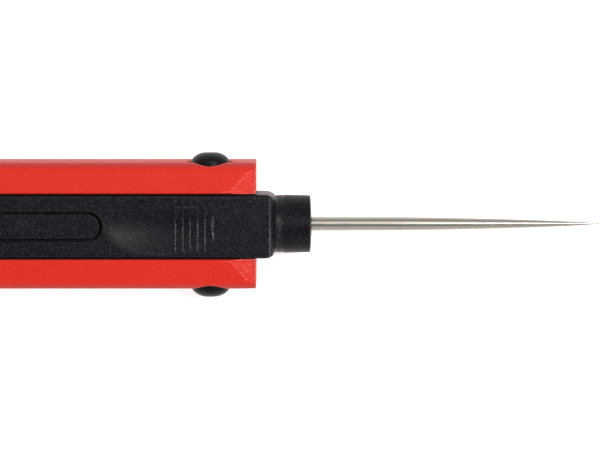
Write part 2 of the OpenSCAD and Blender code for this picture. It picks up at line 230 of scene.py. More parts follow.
class Finish(Wiring):
    """A material and the patterns that it is made of."""

    def __init__(self, name):
        self.material = bpy.data.materials.new(name)
        self.material.use_nodes = True
        super().__init__(self.material.node_tree)
        self.shader = self.tree.nodes.new("ShaderNodeBsdfPrincipled")
        output = self.tree.nodes.new("ShaderNodeOutputMaterial")
        self.tree.links.new(self.shader.outputs["BSDF"], output.inputs["Surface"])

    def place(self, stretch=(1, 1, 1)):
        """Where a point of the piece is, in millimetres, stretched along each axis."""
        here = self.node("ShaderNodeTexCoord", out="Object")
        return self.node("ShaderNodeVectorMath", {"operation": "MULTIPLY"},
                         {0: here, 1: tuple(factor / MM for factor in stretch)})

    def noise(self, grain, detail=2.0, stretch=(1, 1, 1), roughness=0.5):
        """Cloudy noise from 0 to 1, whose grain is about that many millimetres across."""
        return self.node("ShaderNodeTexNoise", None,
                         {"Vector": self.place(stretch), "Scale": 1.0 / grain,
                          "Detail": detail, "Roughness": roughness})

    def cells(self, grain):
        """Distance to the nearest of scattered points that are about grain millimetres apart."""
        return self.node("ShaderNodeTexVoronoi", None,
                         {"Vector": self.place(), "Scale": 1.0 / grain, "Randomness": 1.0})

    def coordinate(self, letter):
        """How far a point of the piece lies along an axis, in millimetres."""
        return self.node("ShaderNodeSeparateXYZ", None, {0: self.place()}, out=letter)

    def facing(self, letter):
        """How squarely the surface faces along an axis, either way, from 0 to 1."""
        normal = self.node("ShaderNodeTexCoord", out="Normal")
        return abs(self.node("ShaderNodeSeparateXYZ", None, {0: normal}, out=letter))

    def worn_edges(self, reach, low=0.01, high=0.3):
        """1 on sharp edges, 0 on the flats. reach is in millimetres, and low and high are how
        far the surface has turned within it, as 1 less the cosine."""
        geometry = self.node("ShaderNodeNewGeometry", out="Normal")
        rounded = self.node("ShaderNodeBevel", {"samples": 4}, {"Radius": reach * MM})
        alike = self.node("ShaderNodeVectorMath", {"operation": "DOT_PRODUCT"},
                          {0: geometry, 1: rounded}, out="Value")
        return (1 - alike).between(low, high)

    def bump(self, height, depth):
        """Normals from a height field, in which 1 stands depth millimetres above 0."""
        return self.node("ShaderNodeBump", None,
                         {"Height": height, "Distance": depth * MM, "Strength": 1.0})


def red_shell_finish():
    """Satin red moulded plastic with a fine eroded texture. Painted grey shade darkens the
    surfaces that face sideways, painted highlights pale the creases near the mouth, and the front
    facets get pale scratches with a faint painted sheen."""
    finish = Finish("satin_red_plastic")
    cloud = finish.noise(9.0, 3.0)
    grain = finish.noise(0.16, 2.0)
    pits = finish.cells(0.34)
    rubs = finish.noise(0.9, 4.0, (0.25, 1, 1)).between(0.42, 0.72)
    scratches = finish.noise(0.22, 3.0, (0.3, 1, 1)).between(0.48, 0.62)
    # Painted shade: surfaces facing sideways, the rounded flanks and the slot's lips, are greyed
    # darker, less so low down.
    shoulder_only = finish.coordinate("Z").between(6.2, 7.6) * 0.4 + 0.6
    painted_flank_shade = finish.facing("Y").between(0.38, 0.95) * shoulder_only
    flat = 1 - finish.facing("Y").between(0.20, 0.32)
    facets = finish.facing("X").between(0.09, 0.16) * flat
    at_front = finish.coordinate("X").between(MOUTH / MM - 5.2, MOUTH / MM - 4.6)
    worn = finish.worn_edges(0.35) * (rubs * 0.6 + 0.25)
    # Painted highlight: thin pale lines along the hip creases near the mouth.
    crease_highlights = (finish.worn_edges(0.24, 0.0005, 0.0020) * flat * at_front
               * (scratches * 0.8 + 0.2))
    deep_red, bright_red = (0.545, 0.0150, 0.0065), (0.600, 0.0200, 0.0095)
    pale_speck, flank_shade_grey = (0.70, 0.055, 0.04), (0.345, 0.028, 0.024)
    wear_and_highlight_pink = (0.74, 0.20, 0.17)
    tint = finish.blend(cloud, deep_red, bright_red)
    speckled = finish.blend(grain.between(0.50, 0.72) * 0.5, tint, pale_speck)
    flank_shaded = finish.blend(painted_flank_shade * 0.82, speckled, flank_shade_grey)
    # Real edge wear, painted crease highlights, and on the front facets scratches with a faint
    # painted sheen, all paled towards pink.
    wear_and_highlights = (worn * 0.25 + crease_highlights * 0.75 + facets * (scratches * 0.14 + 0.02)).clamped()
    finish.plug(finish.shader, {
        "Base Color": finish.blend(wear_and_highlights, flank_shaded, wear_and_highlight_pink),
        "Roughness": (0.42 + 0.16 * grain - 0.12 * worn + 0.06 * cloud).clamped(),
        "Normal": finish.bump(grain * 0.7 + pits * 0.3, 0.014),
        "Specular IOR Level": 0.13,
    })
    return finish.material


def painted_thumb_highlights(finish, flecks):
    """Painted highlights on the slider, mixed towards pale grey: the ribs' crests and +Y ends,
    the front edge of the thumb face and, more faintly, a painted glint on the slope before it."""
    along, across = finish.coordinate("X"), finish.coordinate("Y")
    face_front, face_height = FACE_FRONT / MM, THUMB_FACE / MM
    ahead_of_rib = along - RIB_FRONT / MM
    ribs_back = ahead_of_rib * (MM / RIB_PITCH)
    crest_highlights = ((1 - finish.math("PINGPONG", ribs_back, 0.5).between(0.03, 0.14))
              * ribs_back.between(-5.4, -5.3) * ribs_back.between(-0.5, -0.6)
              * across.between(1.4, 0.4) * across.between(-3.9, -3.3))
    crescent_highlight = ((ahead_of_rib - RIB_BOW * across * across).near(0.0, 0.04, 0.17)
                * across.between(1.7, 1.2) * across.between(-2.2, -1.8))
    ends = (across.near(2.85, 0.05, 0.22)
            * ribs_back.between(-5.3, -5.2) * ribs_back.between(-1.8, -2.1))
    raised = finish.coordinate("Z").between(face_height - 0.5, face_height - 0.2)
    front = (along.near(face_front - 0.06, 0.04, 0.20) * raised
             * (across.between(3.5, -2.5) * 0.6 + 0.4))
    slope_glint = (along.near(face_front + 1.3, 0.05, 0.45)
             * across.between(-2.6, -0.8) * across.between(2.2, 0.8))
    dotted = finish.noise(0.30, 2.0).between(0.44, 0.58) * 0.92 + 0.08
    # Painted highlights: the rib crests, the bowed front rib, the face's front edge and the rib
    # ends.
    highlight_lines = crest_highlights * 0.68 + crescent_highlight + front * 0.85 + ends * 0.3
    return highlight_lines * dotted * 0.9 + slope_glint * flecks * 0.3


def black_moulded_finish(name, shine, grain_size, depth, with_thumb_highlights=False):
    """Black moulded plastic with a spark texture and pale painted glint specks, and on request
    painted highlights on the thumb face.
    """
    finish = Finish(name)
    cloud = finish.noise(5.0, 2.0)
    grain = finish.noise(grain_size, 3.0, roughness=0.7)
    pits = finish.cells(0.34)
    # Painted glints: scattered pale specks in the base colour.
    glint_specks = 1 - finish.cells(0.42).between(0.10, 0.22)
    flecks = finish.noise(0.30, 3.0).between(0.40, 0.58)
    worn = finish.worn_edges(0.22, 0.02, 0.14) * flecks * 0.18
    # Painted highlights of the thumb face are added to the edge wear.
    if with_thumb_highlights:
        worn = worn + painted_thumb_highlights(finish, flecks)
    deep_black, grey_grain = (0.0008, 0.0006, 0.0014), (0.0118, 0.0100, 0.0150)
    glint_grey, rubbed_grey = (0.066, 0.063, 0.073), (0.125, 0.121, 0.132)
    tint = finish.blend(cloud * 0.3 + grain.between(0.40, 0.62) * 0.7, deep_black, grey_grain)
    glint_speckled = finish.blend(glint_specks * 0.75, tint, glint_grey)
    finish.plug(finish.shader, {
        # worn holds the edge wear and, on the slider, the painted highlights too.
        "Base Color": finish.blend(worn.clamped(), glint_speckled, rubbed_grey),
        "Roughness": (0.31 + 0.16 * grain - 0.06 * worn).clamped(),
        "Normal": finish.bump(grain * 0.75 + pits * 0.45, depth),
        "Specular IOR Level": shine,
    })
    return finish.material


def black_satin_finish():
    """Satin black moulded plastic with a fine texture, for the buttons."""
    finish = Finish("satin_black_button")
    grain = finish.noise(0.14, 3.0, roughness=0.6)
    cloud = finish.noise(3.0, 2.0)
    scuffs = finish.noise(0.5, 3.0, (0.3, 1, 1)).between(0.58, 0.74)
    worn = finish.worn_edges(0.25) * finish.noise(0.5, 3.0).between(0.35, 0.65)
    deep_black, soft_black = (0.0018, 0.0013, 0.0018), (0.0080, 0.0068, 0.0078)
    rubbed_grey = (0.08, 0.078, 0.08)
    tint = finish.blend(cloud * 0.4 + grain.between(0.35, 0.65) * 0.6, deep_black, soft_black)
    finish.plug(finish.shader, {
        "Base Color": finish.blend((worn * 0.5 + scuffs * 0.12).clamped(), tint, rubbed_grey),
        "Roughness": (0.28 + 0.16 * grain + 0.08 * scuffs - 0.06 * worn).clamped(),
        "Normal": finish.bump(grain, 0.006),
        "Specular IOR Level": 0.1,
    })
    return finish.material


def needle_finish():
    """Drawn steel wire with streaks along it, fine grinding rings round it and dull spots.
    Painted shade makes its sides a little darker than its top."""
    finish = Finish("drawn_steel_needle")
    streaks = finish.noise(0.10, 3.0, (0.03, 1, 1))
    rings = finish.noise(0.12, 2.0, (1, 0.06, 0.06))
    cloud = finish.noise(2.2, 3.0, (0.4, 1, 1))
    stains = finish.noise(1.1, 4.0, (0.35, 1, 1)).between(0.60, 0.78)
    warm_steel, pale_steel = (0.36, 0.332, 0.292), (0.44, 0.410, 0.364)
    side_shade_steel, stain = (0.31, 0.286, 0.252), (0.20, 0.180, 0.152)
    tint = finish.blend(cloud, warm_steel, pale_steel)
    # Painted shade: the sides that face along Y are darkened.
    sides_shaded = finish.blend(finish.facing("Y").between(0.15, 0.60), tint, side_shade_steel)
    finish.plug(finish.shader, {
        "Base Color": finish.blend(stains * 0.35, sides_shaded, stain),
        "Metallic": 1.0,
        "Roughness": (0.20 + 0.14 * streaks + 0.08 * rings + 0.14 * stains).clamped(),
        "Normal": finish.bump(streaks * 0.7 + rings * 0.3, 0.006),
    })
    return finish.material


def plain_steel_finish(name, tint, dark, roughness):
    """Small steel parts: springs and screws."""
    finish = Finish(name)
    grain = finish.noise(0.14, 3.0)
    cloud = finish.noise(0.8, 3.0)
    worn = finish.worn_edges(0.12) * finish.noise(0.3, 2.0).between(0.35, 0.6)
    skin = finish.blend(cloud, dark, tint)
    finish.plug(finish.shader, {
        "Base Color": finish.blend(worn * 0.6, skin, (0.55, 0.54, 0.52)),
        "Metallic": 1.0,
        "Roughness": (roughness + 0.18 * grain - 0.08 * worn).clamped(),
        "Normal": finish.bump(grain, 0.008),
    })
    return finish.material


RED = red_shell_finish()
BLACK = black_moulded_finish("black_spark_textured_plastic", shine=0.13, grain_size=0.32,
                             depth=0.042)
# The slider's finish carries the painted highlights of the thumb face.
SLIDER_BLACK = black_moulded_finish("highlight_painted_black_plastic", shine=0.125, grain_size=0.32,
                                    depth=0.042, with_thumb_highlights=True)
COLLAR_BLACK = black_moulded_finish("fine_textured_black_collar", shine=0.08, grain_size=0.30,
                                    depth=0.030)
BUTTON_BLACK = black_satin_finish()
NEEDLE_STEEL = needle_finish()
SPRING_STEEL = plain_steel_finish("bright_spring_steel", tint=(0.56, 0.55, 0.53),
                                  dark=(0.42, 0.41, 0.40), roughness=0.22)
SCREW_STEEL = plain_steel_finish("blackened_screw_steel", tint=(0.10, 0.10, 0.105),
                                 dark=(0.045, 0.045, 0.05), roughness=0.34)


# ---------------------------------------------------------------- making meshes

def mesh_object(name, verts, faces):
    """An object in the scene, with its faces turned outwards."""
    mesh = bpy.data.meshes.new(name)
    mesh.from_pydata(verts, [], faces)
    made = bpy.data.objects.new(name, mesh)
    bpy.context.scene.collection.objects.link(made)
    work = bmesh.new()
    work.from_mesh(mesh)
    bmesh.ops.remove_doubles(work, verts=work.verts, dist=0.0001 * MM)
    bmesh.ops.recalc_face_normals(work, faces=work.faces)
    work.to_mesh(mesh)
    work.free()
    return made


def prism(name, outline, start, end, turn):
    """An outline of (u, v) pairs made solid from start to end. turn(u, v, w) gives the place."""
    count = len(outline)
    verts = [turn(u, v, w) for w in (start, end) for u, v in outline]
    sides = [(i, (i + 1) % count, (i + 1) % count + count, i + count) for i in range(count)]
    return mesh_object(name, verts, [tuple(range(count)), tuple(range(count, 2 * count)), *sides])


def along_x(name, outline, start, end):
    """An outline of (y, z) pairs made solid between two stations."""
    return prism(name, outline, start, end, lambda y, z, x: (x, y, z))


def along_z(name, outline, start, end):
    """An outline of (x, y) pairs made solid between two heights."""
    return prism(name, outline, start, end, lambda x, y, z: (x, y, z))


def block(name, low, high):
    """A box between two opposite corners."""
    corners = [(low[0], low[1]), (high[0], low[1]), (high[0], high[1]), (low[0], high[1])]
    return along_z(name, corners, low[2], high[2])


def lathe(name, profile, turn, steps=96):
    """A profile of (radius, height) pairs turned round an axis. turn(u, v, h) gives the place.
    The profile either starts and ends on the axis, or is closed into a ring clear of it."""
    rings = [(r, h) for r, h in profile if r > 0]
    verts = [turn(r * cos(2 * pi * k / steps), r * sin(2 * pi * k / steps), h)
             for r, h in rings for k in range(steps)]
    faces = []
    for i in range(len(rings) - 1):
        for k in range(steps):
            a, b = i * steps + k, i * steps + (k + 1) % steps
            faces.append((a, b, b + steps, a + steps))
    last = (len(rings) - 1) * steps
    if profile[0][0] > 0:
        faces += [(last + k, last + (k + 1) % steps, (k + 1) % steps, k) for k in range(steps)]
    else:
        for height, first in ((profile[0][1], 0), (profile[-1][1], last)):
            verts.append(turn(0, 0, height))
            faces += [(first + k, first + (k + 1) % steps, len(verts) - 1) for k in range(steps)]
    return mesh_object(name, verts, faces)


def facing_x(u, v, h):
    """Turns a profile so that its height runs along the needle."""
    return (h, u, AXIS + v)


def facing_y(side):
    """Turns a profile so that its height runs out of one side at the buttons."""
    return lambda u, v, h: (BUTTON_X + u, side * h, BUTTON_Z + v)


def facing_z(x, y):
    """Turns a profile so that its height runs up at a place."""
    return lambda u, v, h: (x + u, y + v, h)


def join(piece, other, operation):
    """Applies a boolean of other on piece, and removes other."""
    step = piece.modifiers.new("join", "BOOLEAN")
    step.operation = operation
    step.solver = "EXACT"
    step.object = other
    freeze(piece)
    spent = other.data
    bpy.data.objects.remove(other)
    bpy.data.meshes.remove(spent)


def cut(piece, *others):
    """Takes the others out of the piece."""
    for other in others:
        join(piece, other, "DIFFERENCE")


def add(piece, *others):
    """Makes the others part of the piece."""
    for other in others:
        join(piece, other, "UNION")


def freeze(piece):
    """Replaces the piece's mesh by what its modifiers make of it."""
    bpy.context.view_layer.update()
    ready = piece.evaluated_get(bpy.context.evaluated_depsgraph_get())
    old = piece.data
    new = bpy.data.meshes.new_from_object(ready)
    piece.modifiers.clear()
    piece.data = new
    bpy.data.meshes.remove(old)


def round_edges(piece, width_at):
    """Rounds each edge by width_at(middle of edge, angle between its faces), 0 for none."""
    widest, almost_flat = 1.0 * MM, radians(0.3)
    work = bmesh.new()
    work.from_mesh(piece.data)
    bmesh.ops.remove_doubles(work, verts=work.verts, dist=0.002 * MM)
    bmesh.ops.dissolve_limit(work, angle_limit=almost_flat, verts=work.verts, edges=work.edges)
    weight = work.edges.layers.float.new("bevel_weight_edge")
    for edge in work.edges:
        if len(edge.link_faces) == 2:
            angle = degrees(edge.calc_face_angle(0.0))
            middle = (edge.verts[0].co + edge.verts[1].co) / 2
            edge[weight] = min(1.0, width_at(middle, angle) / widest)
    work.to_mesh(piece.data)
    work.free()
    step = piece.modifiers.new("round", "BEVEL")
    step.limit_method = "WEIGHT"
    step.offset_type = "OFFSET"
    step.width = widest
    step.segments = 3
    step.use_clamp_overlap = True
    step.harden_normals = False
    freeze(piece)


def weld(piece):
    """Joins the points that the booleans left on top of each other, and drops faces that have
    no width."""
    work = bmesh.new()
    work.from_mesh(piece.data)
    bmesh.ops.remove_doubles(work, verts=work.verts, dist=0.005 * MM)
    bmesh.ops.dissolve_degenerate(work, dist=0.002 * MM, edges=work.edges)
    work.to_mesh(piece.data)
    work.free()


def smooth(piece, angle=32):
    """Smooth shading, with edges sharper than angle kept crisp."""
    piece.data.shade_smooth()
    piece.data.set_sharp_from_angle(angle=radians(angle))


def even_shading(piece):
    """Keeps the flats flat in shading where they meet a rounding."""
    step = piece.modifiers.new("even", "WEIGHTED_NORMAL")
    step.keep_sharp = True
    step.weight = 90
    freeze(piece)


def arc(cx, cy, radius, start, end, count):
    """Points on an arc, angles in degrees."""
    return [(cx + radius * cos(radians(start + (end - start) * k / count)),
             cy + radius * sin(radians(start + (end - start) * k / count)))
            for k in range(count + 1)]


def finish_piece(piece, body, slot, material, *nodes):
    """Gives a made piece its finish and its body, and hides the nodes that it stands for. slot is
    not used.
    """
    piece.data.materials.clear()
    piece.data.materials.append(material)
    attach(piece, body)
    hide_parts(*nodes)


# ---------------------------------------------------------------- the red shells

def shell_outline(low, high):
    """The handle's cross-section between two heights, as (y, z) pairs."""
    lean = atan2(RAIL_SLOPE, 1)
    edge_y = HALF_WIDTH - FACE_EDGE_R
    start_y = edge_y + FACE_EDGE_R * sin(lean)
    start_z = TOP - RAIL_SLOPE * (start_y - SLOT_HALF)
    edge_z = start_z - FACE_EDGE_R * cos(lean)
    back_y = HALF_WIDTH - BACK_EDGE_R
    right = (arc(back_y, BACK_EDGE_R, BACK_EDGE_R, -90, 0, 8)
             + arc(edge_y, edge_z, FACE_EDGE_R, 0, 90 - degrees(lean), 14) + [(SLOT_HALF, TOP)])
    whole = right + [(-y, z) for y, z in reversed(right)]
    kept = [(y, z) for y, z in whole if low <= z <= high]
    if low > 0:
        kept = [(HALF_WIDTH, low), *kept, (-HALF_WIDTH, low)]
    if high < TOP:
        middle = kept.index(max(kept, key=lambda p: (p[1], p[0]))) + 1
        kept = kept[:middle] + [(HALF_WIDTH, high), (-HALF_WIDTH, high)] + kept[middle:]
    return kept


def channel_cutters():
    """What the slider's channel takes out of the shells: the slot with its rounded lips, the
    grooves for the slider's tongues, and the pocket for the tail cap's tongue."""
    lean = degrees(atan2(RAIL_SLOPE, 1))
    centre_z = TOP - SLOT_EDGE_R * (RAIL_SLOPE + sqrt(1 + RAIL_SLOPE ** 2))
    flare = arc(SLOT_HALF + SLOT_EDGE_R, centre_z, SLOT_EDGE_R, 180, 90 - lean, 8)
    right = [(SLOT_HALF, CHANNEL_FLOOR), *flare, (flare[-1][0] + OVER, TOP + OVER)]
    outline = right + [(-y, z) for y, z in reversed(right)]
    return [
        along_x("channel", outline, CHANNEL_REAR, MOUTH + OVER),
        block("grooves", (CHANNEL_REAR, -GROOVE_HALF, GROOVE_FLOOR),
              (GROOVE_FRONT, GROOVE_HALF, GROOVE_CEILING)),
        block("tongue_pocket", (SHELL_REAR - OVER, -SLOT_HALF, TONGUE_FLOOR),
              (CHANNEL_REAR + OVER, SLOT_HALF, TONGUE_CEILING)),
    ]


def bore_cutter(side):
    """The stepped bore that a button runs in."""
    start, inner, outer, end = SLOT_HALF - OVER, *BUTTON_POCKET, HALF_WIDTH + OVER
    profile = [(0, start), (BUTTON_STEM_HOLE_R, start), (BUTTON_STEM_HOLE_R, inner),
               (BUTTON_POCKET_R, inner), (BUTTON_POCKET_R, outer), (BUTTON_BORE_R, outer),
               (BUTTON_BORE_R, BORE_MOUTH[0]), (BORE_MOUTH_R, BORE_MOUTH[1]),
               (BORE_MOUTH_R, end), (0, end)]
    return lathe("bore", profile, facing_y(side), 64)


def screw_cutter(x, y, base, top):
    """A countersunk screw hole that opens downwards."""
    profile = [(0, base - OVER), (SCREW_HEAD_R, base - OVER), (SCREW_HEAD_R, base),
               (SCREW_SHANK_R, base + SCREW_SINK), (SCREW_SHANK_R, top), (0, top)]
    return lathe("screw_hole", profile, facing_z(x, y), 48)


def shell_edges(middle, angle):
    """How far an edge of a shell is rounded: most at the mouth and round the bores' mouths."""
    on_split = abs(middle.z - SPLIT) < TOUCH
    on_flank = abs(middle.y) > BORE_MOUTH[0]
    on_hip = 8 < angle < 25 and middle.z > 10 * MM and middle.x > MOUTH - HIP_LENGTH - 0.3 * MM
    from_bore = sqrt((middle.x - BUTTON_X) ** 2 + (middle.z - BUTTON_Z) ** 2)
    if on_hip:
        return 0.14 * MM
    if angle < SHARP:
        return 0
    if from_bore < BUTTON_POCKET_R + 0.1 * MM:
        return 0.16 * MM if on_flank and not on_split else 0
    if on_split:
        return 0.07 * MM
    if middle.x > MOUTH - TOUCH:
        return 0.30 * MM if abs(middle.y) > SLOT_HALF + 2 * TOUCH else 0.18 * MM
    return 0.05 * MM


def make_shell_front():
    """The two rails beside the thumb slot. Their tops slope down to the mouth at the hip."""
    shell = along_x("rail_shell", shell_outline(SPLIT, TOP), SHELL_REAR, MOUTH)
    hip = prism("hip", [(-HIP_LENGTH, 0), (OVER, -HIP_SLOPE * (HIP_LENGTH + OVER)),
                        (OVER, 3 * OVER), (-HIP_LENGTH, 3 * OVER)],
                -2 * HALF_WIDTH, 2 * HALF_WIDTH, lambda x, z, y: (MOUTH + x, y, TOP + z))
    cut(shell, hip, *channel_cutters(), bore_cutter(1), bore_cutter(-1))
    round_edges(shell, shell_edges)
    smooth(shell)
    even_shading(shell)
    finish_piece(shell, "housing", "shell", RED, "housing_front")


def make_shell_back():
    """The channel's floor and lower walls, with the holes for the screws that close it."""
    shell = along_x("floor_shell", shell_outline(0, SPLIT), SHELL_REAR, MOUTH)
    holes = [screw_cutter(x, side * SCREW_Y, 0, SPLIT + OVER)
             for x in RAIL_SCREWS for side in (-1, 1)]
    holes.append(screw_cutter(TAIL_SCREW_X, 0, 0, TONGUE_FLOOR + OVER))
    cut(shell, *channel_cutters(), bore_cutter(1), bore_cutter(-1), *holes)
    round_edges(shell, shell_edges)
    smooth(shell)
    even_shading(shell)
    finish_piece(shell, "housing", "shell", RED, "housing_back")


# ---------------------------------------------------------------- the tail cap

def cap_edges(middle, angle):
    """How far an edge of the tail cap is rounded."""
    if angle < SHARP:
        return 0
    if (middle - Vector((HANG_HOLE_X, 0, middle.z))).length <= HANG_HOLE_R + 0.8 * MM:
        return 0.12 * MM
    if middle.x > SHELL_REAR - TOUCH:
        return 0.08 * MM
    return 0.6 * MM


def make_tail_cap():
    """The black cap that closes the channel's rear, with rounded corners, a hanging hole and a
    tongue that a screw holds between the shells."""
    cap = along_x("tail_end", shell_outline(0, TOP), cap_low.x, SHELL_REAR)
    corner_y = HALF_WIDTH - CAP_CORNER_R
    corner_x = cap_low.x + CAP_CORNER_R
    plan = ([(SHELL_REAR + OVER, -2 * HALF_WIDTH), (SHELL_REAR + OVER, 2 * HALF_WIDTH)]
            + [(corner_x, 2 * HALF_WIDTH)]
            + arc(corner_x, corner_y, CAP_CORNER_R, 90, 180, 18)
            + arc(corner_x, -corner_y, CAP_CORNER_R, 180, 270, 18)
            + [(corner_x, -2 * HALF_WIDTH)])
    join(cap, along_z("plan", plan, -OVER, TOP + OVER), "INTERSECT")
    rim = 0.4 * MM
    wide = HANG_HOLE_R + rim
    hole = [(0, -OVER), (wide, -OVER), (wide, 0), (HANG_HOLE_R, rim), (HANG_HOLE_R, TOP - rim),
            (wide, TOP), (wide, TOP + OVER), (0, TOP + OVER)]
    cut(cap, lathe("hang_hole", hole, facing_z(HANG_HOLE_X, 0), 72))
    side_gap, face_gap = 0.1 * MM, 0.05 * MM
    tongue = block("tongue", (SHELL_REAR - 0.5 * MM, -SLOT_HALF + side_gap,
                              TONGUE_FLOOR + face_gap),
                   (cap_high.x, SLOT_HALF - side_gap, TONGUE_CEILING - face_gap))
    add(cap, tongue)
    cut(cap, screw_cutter(TAIL_SCREW_X, 0, -3 * MM, TOP - 1 * MM))
    round_edges(cap, cap_edges)
    smooth(cap)
    even_shading(cap)
    finish_piece(cap, "housing", "tail", BLACK, "tail_cap")


# ---------------------------------------------------------------- the thumb slider

def softer(a, b, reach):
    """The lesser of two heights, blended over reach where they are close."""
    h = max(reach - abs(a - b), 0) / reach
    return min(a, b) - h * h * reach / 4


def eased(share):
    """From 0 to 1 as share does, starting and ending level."""
    share = min(1.0, max(0.0, share))
    return share * share * (3 - 2 * share)


def rib(distance):
    """Height of a rib at a distance from its middle. Its top is flat over half its width, and
    leans towards the front."""
    share = min(1.0, abs(distance) / RIB_HALF_WIDTH)
    return (RIB_HEIGHT - RIB_LEAN * distance) * (1 - eased((share - 0.5) / 0.5))


def dish_floor(x, y):
    """Height of the thumb dish's floor relative to the thumb face. An arc across the dish is
    swept along an arc, and 1 stands for a place outside both."""
    total = DISH_HALF_WIDTH ** 2 / DISH_DEPTH
    belly = (total + DISH_DEPTH) / 2
    lift = (total - DISH_DEPTH) / 2
    bow = (DISH_HALF_LENGTH ** 2 + DISH_DEPTH ** 2) / (2 * DISH_DEPTH)
    reach = x - DISH_X
    if abs(reach) >= bow:
        return 1.0
    radius = belly - bow + sqrt(bow * bow - reach * reach)
    if radius <= abs(y):
        return 1.0
    return lift - sqrt(radius * radius - y * y)


def thumb_face(x, y):
    """Height of the thumb face, its dish and its ribs, relative to the flat of the face."""
    floor = dish_floor(x, y)
    behind_dish = x < DISH_REAR + 0.05 * MM
    if floor > 0.3 * MM or behind_dish:
        return 0.0
    ribs = 0.0
    for i in range(RIB_COUNT):
        crest = RIB_FRONT - i * RIB_PITCH
        if i == 0:
            crest += RIB_BOW * (y * y) / MM
        ribs = max(ribs, rib(x - crest))
    return min(softer(floor, 0.0, DISH_SOFTNESS) + ribs, 0.0)


def spread(start, end, pitch):
    """Stations from start up to end, about pitch apart, without the last one."""
    count = max(1, round(abs(end - start) / pitch))
    return [start + (end - start) * k / count for k in range(count)]


def slope_fall(x):
    """How far the slope between the thumb face and the collar has fallen at x. The edge that
    starts it is rounded over reach."""
    reach, steepness = 0.13 * MM, 1.4
    ahead = x - FACE_FRONT
    if ahead <= -reach:
        return 0.0
    if ahead < reach:
        return steepness * (ahead + reach) ** 2 / (4 * reach)
    return steepness * ahead


def shoulder(x):
    """How far the slider's sides have drawn in at x, in front of the mouth."""
    start, length, depth = MOUTH + 1.45 * MM, 1.8 * MM, 0.55 * MM
    share = min(1.0, max(0.0, (x - start) / length))
    return depth * (1 - cos(pi * share)) / 2


def half_section(height, corner, face):
    """Half of the slider's cross-section, as (y, z - AXIS), from the +Y side over the face to -Y.
    face is how many steps the flat part of the face has."""
    wall = [(SLIDER_HALF, 0.0)] + [(SLIDER_HALF, (height - corner) * k / 5) for k in range(1, 5)]
    bend = arc(SLIDER_HALF - corner, height - corner, corner, 0, 90, 8)
    flat = [((SLIDER_HALF - corner) * (1 - 2 * k / face), height) for k in range(1, face)]
    back = [(-y, z) for y, z in reversed(wall + bend)]
    return wall + bend + flat + back


def nose_point(x, y, z, height, fall):
    """A point of the cross-section as the slider narrows down to the collar's round."""
    turn_start, turn_length = FACE_FRONT + 0.3 * MM, 0.85 * MM
    y *= (SLIDER_HALF - shoulder(x)) / SLIDER_HALF
    z *= (height - fall) / height
    out = sqrt(y * y + z * z)
    out_now = out + (BOSS_R - out) * eased((x - turn_start) / turn_length)
    return y * out_now / out, z * out_now / out


def loft_slider(name, section, stations, up, relief):
    """Half of the slider, swept along X. up is 1 for the upper half and -1 for the lower.
    relief(x, y) is how far the flat of the section is raised."""
    width = len(section)
    height = max(z for y, z in section)
    boss_fall, root_softness = height - BOSS_R, 0.12 * MM
    verts = []
    for x in stations:
        fall = softer(slope_fall(x), boss_fall, root_softness)
        for y, z in section:
            if x > MOUTH:
                y_now, z_now = nose_point(x, y, z, height, fall)
            else:
                y_now, z_now = y, z + (relief(x, y) if z > height - 0.1 * MM else 0.0)
            verts.append((x, y_now, AXIS + up * z_now))
    faces = []
    for i in range(len(stations) - 1):
        for k in range(width - 1):
            a = i * width + k
            faces.append((a, a + width, a + width + 1, a + 1))
    last = (len(stations) - 1) * width
    faces.append(tuple(range(width)))
    faces.append(tuple(last + k for k in range(width - 1, -1, -1)))
    faces.append(tuple([i * width for i in range(len(stations))]
                       + [i * width + width - 1 for i in range(len(stations) - 1, -1, -1)]))
    return mesh_object(name, verts, faces)


def nose_stations():
    """Stations in front of the mouth, closest where the face turns down to the boss."""
    return (spread(MOUTH + 0.4 * MM, FACE_FRONT - 0.4 * MM, 0.2 * MM)
            + spread(FACE_FRONT - 0.4 * MM, FACE_FRONT + 1.6 * MM, 0.05 * MM)
            + spread(FACE_FRONT + 1.6 * MM, NOSE, 0.1 * MM) + [NOSE])


def side_block(name, side, along, out, up):
    """A block on one side of the slider, between limits along X, out from the middle, and up."""
    low_y, high_y = sorted((side * out[0], side * out[1]))
    return block(name, (along[0], low_y, up[0]), (along[1], high_y, up[1]))


def make_slider_top():
    """The half under the thumb, with the dish, the ribs, the marker's pocket, the pockets for
    the latch springs, and the upper half of each tongue."""
    ribs_rear = RIB_FRONT - (RIB_COUNT - 1) * RIB_PITCH - 0.5 * MM
    stations = (spread(SLIDER_REAR, DISH_REAR, 1.2 * MM)
                + spread(DISH_REAR, ribs_rear, 0.16 * MM)
                + spread(ribs_rear, DISH_FRONT, 0.054 * MM)
                + spread(DISH_FRONT, MOUTH + 0.4 * MM, 0.5 * MM) + nose_stations())
    section = half_section(THUMB_FACE - AXIS, FACE_CORNER_R, 64)
    slider = loft_slider("thumb_slider", section, stations, 1, thumb_face)
    pocket = stadium(marker_high.x + MARKER_GAP, marker_low.x - MARKER_GAP,
                     marker_high.y + MARKER_GAP)
    cut(slider, along_z("marker_pocket", pocket, THUMB_FACE - MARKER_GROOVE_DEPTH,
                        THUMB_FACE + OVER))
    for side in (-1, 1):
        cut(slider, side_block("spring_pocket", side, LATCH_POCKET_ALONG, LATCH_POCKET_OUT,
                               LATCH_POCKET_UP))
        add(slider, side_block("tongue", side, TONGUE_ALONG, TONGUE_OUT,
                               (SPLIT, GROOVE_CEILING - TONGUE_GAP)))
    weld(slider)
    smooth(slider, 40)
    finish_piece(slider, "carriage", "slider", SLIDER_BLACK, "slider_top")


